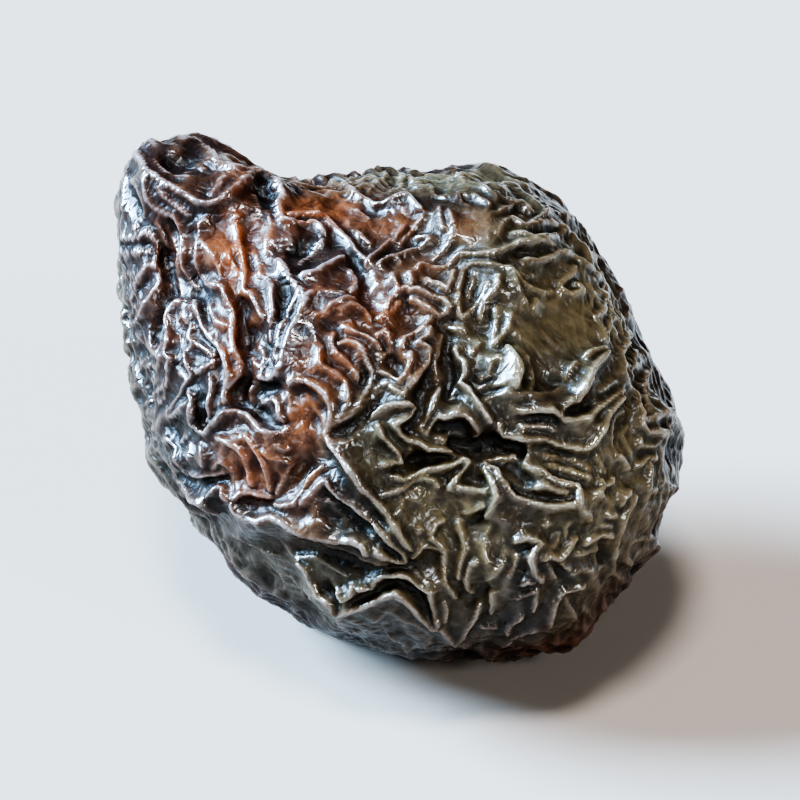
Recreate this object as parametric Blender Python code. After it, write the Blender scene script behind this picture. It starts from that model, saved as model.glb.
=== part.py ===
"""A prune: one dried plum, whole, lying on the small flat spot that its weight has pressed.

Metres, +Z up. The origin is on the surface that the fruit rests on, below the middle of its box.
The front is -Y. The fruit is drawn in a face frame that looks at its broad side from 30 degrees
above the horizon: u to the right, v up the face, w out of the face towards the looker. The
outline is the widest section seen that way; the body swells in front of it and behind it. Folds
are raised or sunk along lines drawn on the face, and a net of ridges that runs lengthwise from
the stem end covers the back and the sides.
"""

import math

import bmesh
import bpy
import numpy as np

MM = 0.001

# ---- driving dimensions, in millimetres and degrees -------------------------------------------
STEP = 0.17  # one unit of the drawing grid that outline and folds are laid out on
MIDDLE = (432.0, 361.0)  # grid point of the body's middle, u to the right and v counted down
FACE_ELEVATION = 30.0  # how far above the horizon the face frame looks from
FRONT_SWELL = 13.2  # the body's half thickness in front of the widest section
BACK_SWELL = 13.8  # and behind it
LEAN = -0.26  # the broad side leans back by this much w for each v
FULLNESS = 0.07  # 0 is an ellipse's section, more is a fuller cushion
OUTLINE_WAVES = 13  # the outline keeps this many waves, the folds bring the rest
CUTS = 18  # cuts along each edge of the starting icosahedron
FOOT_SINK = 1.2  # depth of the flat spot that the fruit rests on
NET_CELLS = 60  # hollows in the net of ridges over the whole body
NET_HEIGHT = 1.9  # height of its ridges
NET_WIDTH = 3.0  # and their half width
NET_LENGTHWISE = 0.45  # 1 is an even net, less draws the hollows out lengthwise
STEM_END = (-0.70, 0.62, -0.35)  # direction of the pointed stem end in the face frame

# The widest section, clockwise from the pointed stem end, on the drawing grid.
OUTLINE = [
    (335, 256), (349, 257), (358, 263), (368, 267.5), (380, 267.5), (392, 268),
    (404, 267.5), (414, 265), (424, 263), (434, 265.5), (448, 266), (462, 266.5),
    (474, 268.5), (484, 272.5), (492, 279.5), (500, 290), (508, 303), (516, 317.5),
    (524, 331), (531, 345), (536.5, 358), (539.5, 372), (539.6, 386), (538, 400),
    (532, 411), (526, 421), (520.5, 431), (513, 441), (504.5, 449.5), (496, 455.5),
    (487, 460), (476, 461.5), (464, 460), (453, 459), (440, 460), (427, 458),
    (414, 455), (404, 451.5), (394, 446), (382, 438.5), (371, 430), (360, 417),
    (351.5, 405), (343, 395.5), (334, 385.5), (329, 371), (326.5, 352), (322, 332),
    (318.5, 312), (317, 296), (318, 281), (321.5, 267.5), (327, 259.5),
]

# Broad swellings and hollows: (u, v, w direction from the middle, height, spread).
LUMPS = [
    ((-0.62, 0.40, 0.66), -1.42, 0.17),  # trough behind the stem end's rim
    ((-0.80, 0.56, 0.30), 0.76, 0.16),
    ((-0.62, -0.10, 0.78), 0.47, 0.22),
    ((-0.16, 0.62, 0.76), -0.94, 0.20),  # trough that parts the two halves of the face
    ((0.30, 0.62, 0.70), 0.76, 0.26),
    ((0.42, 0.02, 0.90), 0.85, 0.34),
    ((-0.20, -0.22, 0.95), 0.85, 0.22),
    ((0.06, -0.30, 0.95), -0.66, 0.18),
    ((0.90, 0.32, 0.10), -0.47, 0.28),
    ((0.10, 0.95, -0.25), -0.76, 0.22),
    ((-0.55, -0.80, 0.20), -0.85, 0.22),  # flattened below the face on the left
    ((-0.30, 0.35, -0.90), 0.66, 0.35),
    ((0.45, -0.10, -0.88), -0.76, 0.30),  # hollow pressed into the back
    ((-0.24, -0.56, -0.80), 2.83, 0.34),  # full lower back, which the fruit rests on
    ((-0.70, -0.20, -0.68), -0.85, 0.28),
    ((0.52, -0.80, 0.10), -0.76, 0.26),
]

# Folds on the face: (height, half width, grid points). Crests are above nought, creases below.
FACE_FOLDS = [
    (0.75, 1.2, [(324, 264), (334, 271), (345, 279), (354, 282), (363, 277), (372, 270)]),
    (-0.80, 1.2, [(340, 286), (338, 300), (337, 318), (332, 336)]),
    (0.70, 1.2, [(349, 290), (354, 302), (360, 318), (366, 334), (372, 348)]),
    (-0.90, 1.2, [(366, 284), (365, 304), (370, 326), (374, 350)]),
    (1.15, 1.4, [(432, 311), (411, 315), (399, 325), (391, 340), (386, 353)]),
    (-0.80, 1.2, [(376, 354), (362, 366), (346, 372), (334, 372)]),
    (1.00, 1.2, [(388, 352), (401, 353), (405, 365), (411, 385), (422, 404), (433, 421)]),
    (-0.80, 1.2, [(395, 358), (397, 378), (389, 397), (372, 402)]),
    (1.00, 1.2, [(346, 391), (364, 400), (386, 405), (408, 412), (432, 421)]),
    (-0.80, 1.2, [(366, 412), (392, 418), (424, 425), (440, 424)]),
    (0.85, 1.2, [(396, 428), (404, 441), (418, 436), (430, 436), (442, 448), (455, 452)]),
    (0.65, 1.1, [(378, 272), (384, 284), (398, 290), (406, 300), (416, 306)]),
    (-0.75, 1.2, [(424, 298), (440, 296), (456, 312), (458, 332), (448, 348)]),
    (0.70, 1.2, [(436, 288), (452, 292), (470, 302), (492, 303), (508, 312)]),
    (0.70, 1.2, [(468, 306), (472, 326), (468, 344), (474, 358)]),
    (-1.00, 1.3, [(430, 394), (440, 384), (452, 388), (462, 376), (478, 380), (490, 374), (504, 384)]),
    (0.80, 1.2, [(466, 366), (480, 362), (492, 366), (504, 352), (514, 345)]),
    (-0.95, 1.2, [(520, 333), (521, 346), (526, 362)]),
    (0.80, 1.2, [(476, 392), (492, 400), (506, 400), (520, 396)]),
    (-0.75, 1.2, [(462, 400), (452, 414), (454, 430), (462, 442)]),
    (0.70, 1.2, [(476, 412), (484, 424), (496, 420), (510, 412)]),
    (0.65, 1.2, [(418, 330), (430, 342), (434, 360), (446, 366)]),
]


def unit(way):
    way = np.array(way, float)
    return way / np.linalg.norm(way)


def outline_radius(angle):
    """The widest section's radius at an angle, in mm, as a closed curve of OUTLINE_WAVES waves."""
    grid = np.array(OUTLINE, float)
    u = (grid[:, 0] - MIDDLE[0]) * STEP
    v = -(grid[:, 1] - MIDDLE[1]) * STEP
    turn, radius = np.arctan2(v, u), np.hypot(u, v)
    order = np.argsort(turn)
    turn, radius = turn[order], radius[order]
    even = np.linspace(-math.pi, math.pi, 720, endpoint=False)
    waves = np.fft.rfft(np.interp(even, turn, radius, period=2 * math.pi)) / len(even)
    total = np.full(np.shape(angle), waves[0].real)
    for k in range(1, OUTLINE_WAVES + 1):
        total = total + 2 * (waves[k] * np.exp(1j * k * (np.asarray(angle) + math.pi))).real
    return total


def body(ways):
    """Points of the smooth body in the face frame, in mm, for unit directions (u, v, w)."""
    across = np.hypot(ways[:, 0], ways[:, 1])
    angle = np.arctan2(ways[:, 1], ways[:, 0])
    out = ways[:, 2]
    reach = outline_radius(angle) * across * (1 + FULLNESS * (1 - across**2))
    swell = np.where(out > 0, FRONT_SWELL, BACK_SWELL)
    u, v = reach * np.cos(angle), reach * np.sin(angle)
    w = swell * out * (1 + FULLNESS * (1 - out**2)) + LEAN * v
    points = np.stack([u, v, w], axis=1)
    for way, height, spread in LUMPS:
        near = np.exp(-((ways - unit(way)) ** 2).sum(axis=1) / (2 * spread**2))
        points = points + ways * (height * near)[:, None]
    return points


def distance_to_line(places, line):
    """How far each (u, v) place is from a bent line, in mm, and how far along the nearest point is."""
    corners = np.array([((x - MIDDLE[0]) * STEP, -(y - MIDDLE[1]) * STEP) for x, y in line])
    best = np.full(len(places), 1e9)
    share = np.zeros(len(places))
    for k, (a, b) in enumerate(zip(corners[:-1], corners[1:])):
        along = b - a
        t = np.clip(((places - a) @ along) / (along @ along), 0, 1)
        gap = np.linalg.norm(places - (a + t[:, None] * along), axis=1)
        closer = gap < best
        best = np.where(closer, gap, best)
        share = np.where(closer, (k + t) / (len(corners) - 1), share)
    return best, share


def face_folds(points, facing):
    """How far the folds drawn on the face raise the skin at each point, in mm."""
    total = np.zeros(len(points))
    for height, half_width, line in FACE_FOLDS:
        gap, share = distance_to_line(points[:, :2], line)
        ends = np.clip(np.minimum(share, 1 - share) * 5 + 0.35, 0, 1)
        total += height * ends * np.exp(-((gap / half_width) ** 2) / 1.4)
    return total * facing


def ridge_net(points):
    """Height of a net of ridges between hollows that are drawn out away from the stem end."""
    index = np.arange(NET_CELLS)
    out = 1 - 2 * (index + 0.5) / NET_CELLS
    turn = index * 2.399963 + 0.35 * np.sin(index * 1.7)
    ring = np.sqrt(1 - out**2)
    seeds = body(np.stack([ring * np.cos(turn), ring * np.sin(turn), out], axis=1))
    wander = 1.6 * np.stack([np.sin(seeds[:, 1] * 0.9 + index), np.sin(seeds[:, 2] * 1.1 + index),
                             np.sin(seeds[:, 0] * 1.3 + index)], axis=1)
    seeds = seeds + wander
    axis = unit(STEM_END)
    bend = 0.9 * np.stack([np.sin(points[:, 1] * 0.42 + 1.0), np.sin(points[:, 2] * 0.38 + 2.0),
                           np.sin(points[:, 0] * 0.40 + 0.5)], axis=1)
    places = points + bend
    squeeze = np.eye(3) - (1 - NET_LENGTHWISE) * np.outer(axis, axis)
    gaps = np.linalg.norm((places @ squeeze)[:, None, :] - (seeds @ squeeze)[None, :, :], axis=2)
    gaps.sort(axis=1)
    return NET_HEIGHT * np.exp(-(((gaps[:, 1] - gaps[:, 0]) / NET_WIDTH) ** 2) / 1.5)


def fold_height(points, ways):
    facing = np.clip((ways[:, 2] + 0.12) / 0.40, 0, 1)
    facing = facing * facing * (3 - 2 * facing)
    return face_folds(points, facing) + ridge_net(points) * (1 - 0.80 * facing) - 0.9 + 0.55 * facing


def stand_up(points):
    """From the face frame to the frame that the fruit stands in."""
    tilt = math.radians(FACE_ELEVATION)
    u, v, w = points.T
    return np.stack([u, v * math.sin(tilt) - w * math.cos(tilt),
                     v * math.cos(tilt) + w * math.sin(tilt)], axis=1)


def make_body():
    """The whole fruit as a mesh, still round underneath, in mm."""
    mesh = bmesh.new()
    bmesh.ops.create_icosphere(mesh, subdivisions=1, radius=1.0)
    bmesh.ops.subdivide_edges(mesh, edges=mesh.edges[:], cuts=CUTS, use_grid_fill=True)
    mesh.verts.ensure_lookup_table()
    ways = np.array([vertex.co for vertex in mesh.verts])
    ways /= np.linalg.norm(ways, axis=1)[:, None]
    smooth = body(ways)
    for vertex, place in zip(mesh.verts, smooth):
        vertex.co = place
    mesh.normal_update()
    normals = np.array([vertex.normal for vertex in mesh.verts])
    folded = stand_up(smooth + normals * fold_height(smooth, ways)[:, None])
    for vertex, place in zip(mesh.verts, folded):
        vertex.co = place
    bmesh.ops.recalc_face_normals(mesh, faces=mesh.faces[:])
    return mesh, folded


def make_material():
    """Dark, slightly sticky skin: near black brown with a soft gloss."""
    skin = bpy.data.materials.new("prune_skin")
    skin.use_nodes = True
    shader = skin.node_tree.nodes["Principled BSDF"]
    shader.inputs["Base Color"].default_value = (0.045, 0.022, 0.014, 1.0)
    shader.inputs["Roughness"].default_value = 0.38
    shader.inputs["Metallic"].default_value = 0.0
    return skin


def main():
    for old in list(bpy.data.objects):
        bpy.data.objects.remove(old)
    fruit = bpy.data.collections.new("prune")
    cutters = bpy.data.collections.new("cutters")
    for collection in (fruit, cutters):
        bpy.context.scene.collection.children.link(collection)

    mesh, places = make_body()
    low, high = places.min(axis=0), places.max(axis=0)
    floor = low[2] + FOOT_SINK
    shift = np.array([-(low[0] + high[0]) / 2, -(low[1] + high[1]) / 2, -floor])
    for vertex in mesh.verts:
        vertex.co = (np.array(vertex.co) + shift) * MM
    data = bpy.data.meshes.new("prune")
    mesh.to_mesh(data)
    mesh.free()
    data.shade_smooth()
    data.materials.append(make_material())
    prune = bpy.data.objects.new("prune", data)
    fruit.objects.link(prune)

    # What lies below the surface is cut away, which leaves the flat spot as one plane.
    below = bmesh.new()
    bmesh.ops.create_cube(below, size=1.0)
    depth = 0.02
    for vertex in below.verts:
        vertex.co = (vertex.co.x * 0.08, vertex.co.y * 0.08, vertex.co.z * depth - depth / 2)
    under = bpy.data.meshes.new("under_the_surface")
    below.to_mesh(under)
    below.free()
    cutter = bpy.data.objects.new("under_the_surface", under)
    cutter.hide_render = True
    cutter.display_type = "WIRE"
    cutters.objects.link(cutter)
    flat = prune.modifiers.new("flat_spot", "BOOLEAN")
    flat.operation = "DIFFERENCE"
    flat.solver = "EXACT"
    flat.object = cutter


main()
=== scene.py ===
"""The looks of a prune: one dried plum with its wrinkled, glossy skin, lying on a pale floor.

The body is the drawing of the solid, repeated here: a widest section seen from 30 degrees above
the horizon, swollen in front and behind. On it lies a skin that is larger than the body, so that
it has to fold. The skin is settled in three stages, from broad folds to fine wrinkles, by
pushing its edges to their length while it resists bending and clings to the body. Crests,
hollows and leaning facets drawn on the face say where the folds run there; a net of ridges
leads them elsewhere.
"""

import math

import bmesh
import bpy
import numpy as np
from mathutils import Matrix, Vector


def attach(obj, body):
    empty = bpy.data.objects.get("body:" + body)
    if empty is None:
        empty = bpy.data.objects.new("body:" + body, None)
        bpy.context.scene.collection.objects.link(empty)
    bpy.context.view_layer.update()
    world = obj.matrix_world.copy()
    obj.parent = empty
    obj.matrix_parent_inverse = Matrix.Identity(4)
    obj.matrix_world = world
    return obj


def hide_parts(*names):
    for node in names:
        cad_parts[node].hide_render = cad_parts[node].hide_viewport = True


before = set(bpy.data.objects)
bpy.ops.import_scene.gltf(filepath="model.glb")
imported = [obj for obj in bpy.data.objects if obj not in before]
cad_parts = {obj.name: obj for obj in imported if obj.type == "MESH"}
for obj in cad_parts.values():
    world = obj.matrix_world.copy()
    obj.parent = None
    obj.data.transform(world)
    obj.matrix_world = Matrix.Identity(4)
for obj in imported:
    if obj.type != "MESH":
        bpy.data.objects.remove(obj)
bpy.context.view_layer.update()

# ------------------------------------------------------------------------------------------------
# The body, as the solid has it (millimetres, drawing grid)
# ------------------------------------------------------------------------------------------------
STEP = 0.17
MIDDLE = (432.0, 361.0)
FACE_ELEVATION = 30.0
FRONT_SWELL = 13.2
BACK_SWELL = 13.8
LEAN = -0.26
FULLNESS = 0.07
OUTLINE_WAVES = 13
CUTS = 18
FOOT_SINK = 1.2
NET_CELLS = 60
NET_HEIGHT = 1.9
NET_WIDTH = 3.0
NET_LENGTHWISE = 0.45
STEM_END = (-0.70, 0.62, -0.35)

OUTLINE = [
    (335, 256), (349, 257), (358, 263), (368, 267.5), (380, 267.5), (392, 268),
    (404, 267.5), (414, 265), (424, 263), (434, 265.5), (448, 266), (462, 266.5),
    (474, 268.5), (484, 272.5), (492, 279.5), (500, 290), (508, 303), (516, 317.5),
    (524, 331), (531, 345), (536.5, 358), (539.5, 372), (539.6, 386), (538, 400),
    (532, 411), (526, 421), (520.5, 431), (513, 441), (504.5, 449.5), (496, 455.5),
    (487, 460), (476, 461.5), (464, 460), (453, 459), (440, 460), (427, 458),
    (414, 455), (404, 451.5), (394, 446), (382, 438.5), (371, 430), (360, 417),
    (351.5, 405), (343, 395.5), (334, 385.5), (329, 371), (326.5, 352), (322, 332),
    (318.5, 312), (317, 296), (318, 281), (321.5, 267.5), (327, 259.5),
]

LUMPS = [
    ((-0.62, 0.40, 0.66), -1.42, 0.17),  # trough behind the stem end's rim
    ((-0.80, 0.56, 0.30), 0.76, 0.16),
    ((-0.62, -0.10, 0.78), 0.47, 0.22),
    ((-0.16, 0.62, 0.76), -0.94, 0.20),  # trough that parts the two halves of the face
    ((0.30, 0.62, 0.70), 0.76, 0.26),
    ((0.42, 0.02, 0.90), 0.85, 0.34),
    ((-0.20, -0.22, 0.95), 0.85, 0.22),
    ((0.06, -0.30, 0.95), -0.66, 0.18),
    ((0.90, 0.32, 0.10), -0.47, 0.28),
    ((0.10, 0.95, -0.25), -0.76, 0.22),
    ((-0.55, -0.80, 0.20), -0.85, 0.22),  # flattened below the face on the left
    ((-0.30, 0.35, -0.90), 0.66, 0.35),
    ((0.45, -0.10, -0.88), -0.76, 0.30),  # hollow pressed into the back
    ((-0.24, -0.56, -0.80), 2.83, 0.34),  # full lower back, which the fruit rests on
    ((-0.70, -0.20, -0.68), -0.85, 0.28),
    ((0.52, -0.80, 0.10), -0.76, 0.26),
]

FACE_FOLDS = [
    (0.75, 1.2, [(324, 264), (334, 271), (345, 279), (354, 282), (363, 277), (372, 270)]),
    (-0.80, 1.2, [(340, 286), (338, 300), (337, 318), (332, 336)]),
    (0.70, 1.2, [(349, 290), (354, 302), (360, 318), (366, 334), (372, 348)]),
    (-0.90, 1.2, [(366, 284), (365, 304), (370, 326), (374, 350)]),
    (1.15, 1.4, [(432, 311), (411, 315), (399, 325), (391, 340), (386, 353)]),
    (-0.80, 1.2, [(376, 354), (362, 366), (346, 372), (334, 372)]),
    (1.00, 1.2, [(388, 352), (401, 353), (405, 365), (411, 385), (422, 404), (433, 421)]),
    (-0.80, 1.2, [(395, 358), (397, 378), (389, 397), (372, 402)]),
    (1.00, 1.2, [(346, 391), (364, 400), (386, 405), (408, 412), (432, 421)]),
    (-0.80, 1.2, [(366, 412), (392, 418), (424, 425), (440, 424)]),
    (0.85, 1.2, [(396, 428), (404, 441), (418, 436), (430, 436), (442, 448), (455, 452)]),
    (0.65, 1.1, [(378, 272), (384, 284), (398, 290), (406, 300), (416, 306)]),
    (-0.75, 1.2, [(424, 298), (440, 296), (456, 312), (458, 332), (448, 348)]),
    (0.70, 1.2, [(436, 288), (452, 292), (470, 302), (492, 303), (508, 312)]),
    (0.70, 1.2, [(468, 306), (472, 326), (468, 344), (474, 358)]),
    (-1.00, 1.3, [(430, 394), (440, 384), (452, 388), (462, 376), (478, 380), (490, 374), (504, 384)]),
    (0.80, 1.2, [(466, 366), (480, 362), (492, 366), (504, 352), (514, 345)]),
    (-0.95, 1.2, [(520, 333), (521, 346), (526, 362)]),
    (0.80, 1.2, [(476, 392), (492, 400), (506, 400), (520, 396)]),
    (-0.75, 1.2, [(462, 400), (452, 414), (454, 430), (462, 442)]),
    (0.70, 1.2, [(476, 412), (484, 424), (496, 420), (510, 412)]),
    (0.65, 1.2, [(418, 330), (430, 342), (434, 360), (446, 366)]),
]

# ------------------------------------------------------------------------------------------------
# The wrinkles of the face, on the same grid: (strength, points along the crest)
# ------------------------------------------------------------------------------------------------
CRESTS = [
    # the stem end, a cup with a rim
    (1.0, [(323.5, 261.5), (328, 259.8), (331, 259), (334, 256.2), (340, 257), (348, 258), (352, 260.5), (356, 264.5), (359, 267.2), (363, 269.5), (367, 269.5)]),
    (1.0, [(324, 262), (327, 266), (330, 270), (335, 273.5), (341, 277), (346, 280), (350, 282.5), (354, 283), (358, 282), (362, 279), (367, 274), (370, 271.5), (374, 271.5), (378, 274), (381, 276.5), (383, 278.5)]),
    (0.9, [(383, 278.5), (381.5, 282), (382, 286), (383, 290), (389, 291), (395, 290.5), (398, 293), (400, 296)]),
    (0.8, [(329, 271), (329, 276), (330, 281), (332, 284), (336, 286), (340, 287.5), (342, 291), (343, 297), (344, 303), (344, 308), (346, 313), (347.5, 316)]),
    (0.7, [(333, 275), (335, 278), (339, 282), (342, 284), (344, 286), (346, 288)]),
    (0.6, [(321.5, 272), (325, 276), (327, 281), (328, 285), (325, 289), (323, 293)]),
    (0.5, [(323, 262), (320.5, 267), (319.5, 275), (319, 285)]),
    (0.6, [(331, 263), (336, 268), (341, 270), (346, 271)]),
    (0.6, [(343, 271), (345, 266), (348, 263.5), (352, 266)]),
    (0.6, [(354, 279), (357, 275), (360, 270.5)]),
    # the left side, where they run down from the stem end
    (0.6, [(336, 291), (339, 297), (340.5, 303), (340, 309), (341, 314), (343, 319)]),
    (0.5, [(333, 290), (335, 295), (336, 300)]),
    (0.7, [(318, 296), (323, 296.5), (328, 294), (331, 296), (333, 300), (332, 306), (328, 308), (325, 312), (324, 316)]),
    (0.6, [(318, 301.5), (326, 301.5), (333, 300)]),
    (0.6, [(318, 302), (319, 310), (321, 318), (323, 323)]),
    (0.7, [(330, 306), (334, 309), (334, 314), (332, 318), (329, 322), (327, 327), (324, 330), (321, 331)]),
    (0.7, [(354, 288.5), (350, 290.5), (349.5, 294), (350, 298), (350.5, 302), (350, 306), (349, 311), (352, 314.5), (356, 315), (359, 315)]),
    (0.6, [(350, 297), (353, 300), (356, 304), (358, 308), (358.5, 311)]),
    (0.7, [(366, 288), (364, 290), (365, 294), (366, 299), (367, 304), (368, 309), (368, 315), (367, 318)]),
    (0.5, [(361, 302), (364, 307), (367, 312)]),
    (0.5, [(372, 277), (373, 283), (375, 288)]),
    (0.7, [(377, 284), (378, 290), (377, 296), (376, 302)]),
    (0.5, [(371, 300), (373, 306), (373.5, 311)]),
    (0.8, [(367, 318), (371, 318), (373, 321), (375, 326), (378, 329)]),
    (0.8, [(359, 315), (360.5, 318), (362, 322), (364, 326), (364, 331), (364, 336), (365, 341), (368, 346), (367, 350), (365, 353), (362, 355.5)]),
    (0.9, [(349, 321), (351, 327), (353, 332), (356, 336), (359, 339), (362, 343), (363, 347), (364, 351), (362, 354), (361, 358), (362, 362)]),
    (0.9, [(344, 321), (340, 322.5), (338, 326), (338.5, 332), (339, 338), (338, 342), (340, 344), (338, 349)]),
    (0.7, [(355, 322), (356, 327), (359, 330), (363, 332)]),
    (0.6, [(343, 326), (346, 330), (350, 327)]),
    (0.8, [(349, 331), (346.5, 335), (349, 338), (345, 341), (346, 345), (348, 350), (345, 354), (342, 359), (340.5, 362), (338, 365.5)]),
    (0.7, [(349, 338), (353, 340), (356, 342.5), (356, 345.5), (352, 348), (349, 350)]),
    (0.8, [(346, 356), (348.5, 360), (345, 362.5), (341, 366), (338, 366)]),
    (0.6, [(338, 350), (337, 354), (334, 356), (331, 359), (329, 362), (330, 366), (333, 370), (335, 372)]),
    (0.5, [(336, 354), (336, 359), (334, 362)]),
    (0.6, [(342, 349), (345, 351), (347, 354)]),
    (1.0, [(348.5, 360), (349, 365), (349, 369), (351, 372), (353, 373), (356, 371), (359, 369), (362, 365), (366, 364.5), (370, 366), (373, 369), (376, 372), (380, 373), (384, 372), (386, 370)]),
    (0.7, [(355, 350), (356, 356), (356, 362), (357, 366), (355, 369)]),
    (0.6, [(373, 339), (376, 341), (377, 345), (376, 348), (373, 346), (371, 342)]),
    (0.6, [(371, 354), (370, 357), (371, 360)]),
    (0.7, [(379, 314), (379, 320), (380, 327), (379, 333), (379, 339)]),
    (0.9, [(391, 316), (389, 319), (385, 326), (382, 334), (381, 340), (382, 346)]),
    (0.9, [(393, 319), (390, 326), (387, 333), (385, 339), (384, 345), (382, 350), (378, 352.5), (374, 351)]),
    (0.8, [(378, 358), (382, 361), (383, 366), (384, 369)]),
    (0.7, [(374, 361), (378, 359)]),
    (0.5, [(386, 357), (387, 362), (387, 368)]),
    (0.5, [(325, 333), (327, 338), (328, 343), (327, 348), (327.5, 353), (327.5, 358)]),
    (0.5, [(330, 334), (332, 340), (335, 344), (333, 347.5), (329, 346)]),
    (0.8, [(380, 304), (384, 308), (386, 312), (389, 315.5)]),
    (0.8, [(389, 307.5), (392, 304.5), (396, 301), (400, 297)]),
    (0.8, [(390, 312), (396, 311), (402, 307.5), (408, 303)]),
    (0.6, [(393, 319), (398, 317), (404, 318), (409, 319)]),
    (0.8, [(409, 308), (412, 312), (412, 316), (410, 318.5)]),
    # the top
    (0.6, [(383, 268.5), (390, 268), (395, 269), (400, 268.5), (406, 269), (409, 266), (413, 267.5), (413.5, 271), (408, 274), (404, 275.5)]),
    (0.8, [(383, 272), (388, 275), (393, 276), (399, 274.5), (404, 275.5), (408, 276), (411, 279), (416, 280.5), (419, 282.5), (424, 282.5), (430, 281), (433, 281), (436, 284), (438, 285.5)]),
    (0.8, [(385, 287.5), (390, 287), (396, 287), (400, 287.5), (402, 290), (405, 294), (409, 298), (413, 302), (416, 305)]),
    (0.6, [(414, 265), (420, 264.5), (426, 265.5), (429, 268.5), (432, 270), (434, 273)]),
    (0.5, [(426, 269), (425, 270), (421, 273), (418, 276), (416, 278)]),
    (0.5, [(424, 278), (429, 275.5), (433, 275), (436, 275), (440, 276), (443, 279), (447, 279), (452, 279), (453, 281), (457, 283)]),
    (0.5, [(430, 270), (429, 275.5)]),
    (0.6, [(434, 269.5), (440, 270.5), (446, 269.5), (453, 267.5), (460, 269), (468, 270), (474, 272), (480, 275), (484, 279), (488, 283), (494, 287), (499, 289)]),
    (0.5, [(451, 272), (454, 274), (460, 275.5), (463, 278), (467, 281), (472, 280.5), (478, 280.5), (482, 283)]),
    (0.6, [(452, 278.5), (458, 279), (462, 282), (465, 284)]),
    (0.7, [(447, 284), (449, 289), (450, 292)]),
    (0.7, [(444, 283), (445, 290), (446, 294)]),
    (0.6, [(408, 288), (409, 292)]),
    (0.7, [(411, 294), (415, 297), (418, 299)]),
    (0.5, [(411, 284), (415, 286), (417, 289)]),
    (0.8, [(414, 307), (420, 302.5), (424, 299), (426, 297)]),
    (0.8, [(426, 299), (428, 296), (431, 291)]),
    (0.7, [(428, 300), (432, 295.5), (435, 291), (438, 287)]),
    (0.8, [(420, 306.5), (424, 304), (428, 303.5), (433, 302), (438, 300), (441, 298), (440, 296.5), (434, 296)]),
    (0.6, [(425, 303), (428, 304), (430, 307)]),
    (0.6, [(441, 304), (445, 302), (448, 299), (450, 296)]),
    (0.8, [(435, 309), (438, 307.5), (443, 308.5), (447, 308), (450, 305), (453, 303), (458, 303), (463, 303), (468, 301), (472, 299), (476, 297.5), (480, 298), (486, 298), (490, 300)]),
    (0.8, [(450, 309), (449, 314), (447, 318), (444, 315.5), (438, 313)]),
    (0.8, [(432, 311), (434, 315), (431, 317), (428, 318), (425, 321), (423, 326), (421.5, 328.5), (425, 326), (428, 323), (429, 321)]),
    (0.7, [(425, 310), (427, 314), (429, 318)]),
    (0.8, [(431, 318), (436, 318), (441, 320), (446, 321), (448, 323.5), (447, 326), (444, 327), (440, 324.5), (436, 322.5), (432, 321)]),
    # the middle
    (0.7, [(454, 308), (452, 315), (451, 322), (452, 328)]),
    (0.6, [(458, 309), (457, 315), (455, 321)]),
    (0.6, [(454, 308), (457, 307), (462, 307), (468, 307), (472, 308), (474, 311), (476, 314), (480, 317), (485, 318), (490, 317)]),
    (0.9, [(467, 311), (467, 315), (465, 319), (462, 322), (460, 326), (460, 329)]),
    (0.7, [(464, 314), (462, 318), (459, 323), (455, 327), (452, 328.5)]),
    (0.7, [(442, 327), (439, 331), (435, 334), (431, 336), (429, 340)]),
    (0.8, [(441, 331), (440, 335), (436, 338), (440, 340), (440, 345), (437, 349), (434, 353), (432, 356)]),
    (0.7, [(424, 331.5), (423, 333.5), (419, 336)]),
    (0.8, [(407, 331), (412, 334), (417, 336), (420, 338), (422, 341)]),
    (0.7, [(424, 332), (425, 337), (425, 341), (422, 343), (420, 343.5)]),
    (0.8, [(403, 338.5), (408, 337), (412, 338), (415, 341), (416, 345), (418, 349), (417, 354), (416, 358), (413, 362), (409, 366), (404, 368)]),
    (0.8, [(403, 333), (402, 338), (405, 343), (409, 346), (412, 349), (413, 352.5)]),
    (0.7, [(399, 338), (398, 343), (398, 347), (402, 349), (405, 350.5), (408, 353), (409, 358), (409, 362), (406, 366), (402, 370)]),
    (0.5, [(393, 350), (398, 347)]),
    (0.6, [(412, 341), (412, 345), (413, 350)]),
    (0.7, [(405, 326), (410, 323.5), (415, 326), (418, 330)]),
    (0.9, [(399, 326), (403, 322.5), (408, 321), (413, 322)]),
    (0.8, [(433, 341), (433, 345), (431, 350), (429, 353), (425, 350), (420, 348)]),
    (0.7, [(420, 353), (424, 352.5), (427, 356), (430, 358), (432, 356)]),
    (1.0, [(418, 367), (422, 364), (427, 362.5), (432, 362), (435, 363), (433, 366), (429, 368), (427, 369.5), (429, 373), (432, 375), (436, 376), (440, 378.5), (446, 379.5), (450, 380)]),
    (0.9, [(420, 369), (422, 374), (425, 377), (428, 380), (430, 384), (426, 384), (421, 385.5)]),
    (0.5, [(433, 377), (433, 381), (431, 384)]),
    (0.6, [(402, 371), (406, 368), (412, 365), (417, 360), (419, 357), (420, 353)]),
    (0.5, [(405, 377), (409, 376), (412, 374)]),
    (0.6, [(446, 333), (444, 340), (443, 346), (443, 352)]),
    (0.9, [(450, 339), (451, 343), (454, 346), (454, 350), (452, 353), (455, 356), (458, 360), (460, 363), (463, 367), (464, 369)]),
    (0.7, [(445, 354), (443, 358), (441, 363), (439, 368), (437, 371), (439, 373), (441, 370), (443, 366)]),
    (0.9, [(443, 366), (446, 367), (450, 365.5), (454, 366), (457, 368.5), (459, 372), (458, 375)]),
    (0.7, [(443, 374), (446, 376), (448, 375)]),
    (0.5, [(448, 360), (450, 354), (452, 353)]),
    (0.5, [(456, 343), (460, 337)]),
    (0.6, [(468, 342), (464, 345), (463, 350), (459, 352)]),
    (0.6, [(458, 356), (462, 354), (467, 354), (470, 353)]),
    (0.5, [(460, 361), (465, 358), (470, 357), (475, 358), (479, 357), (484, 357), (489, 356), (492, 353)]),
    (0.8, [(472, 326), (471, 331), (468, 335), (464, 338)]),
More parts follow.
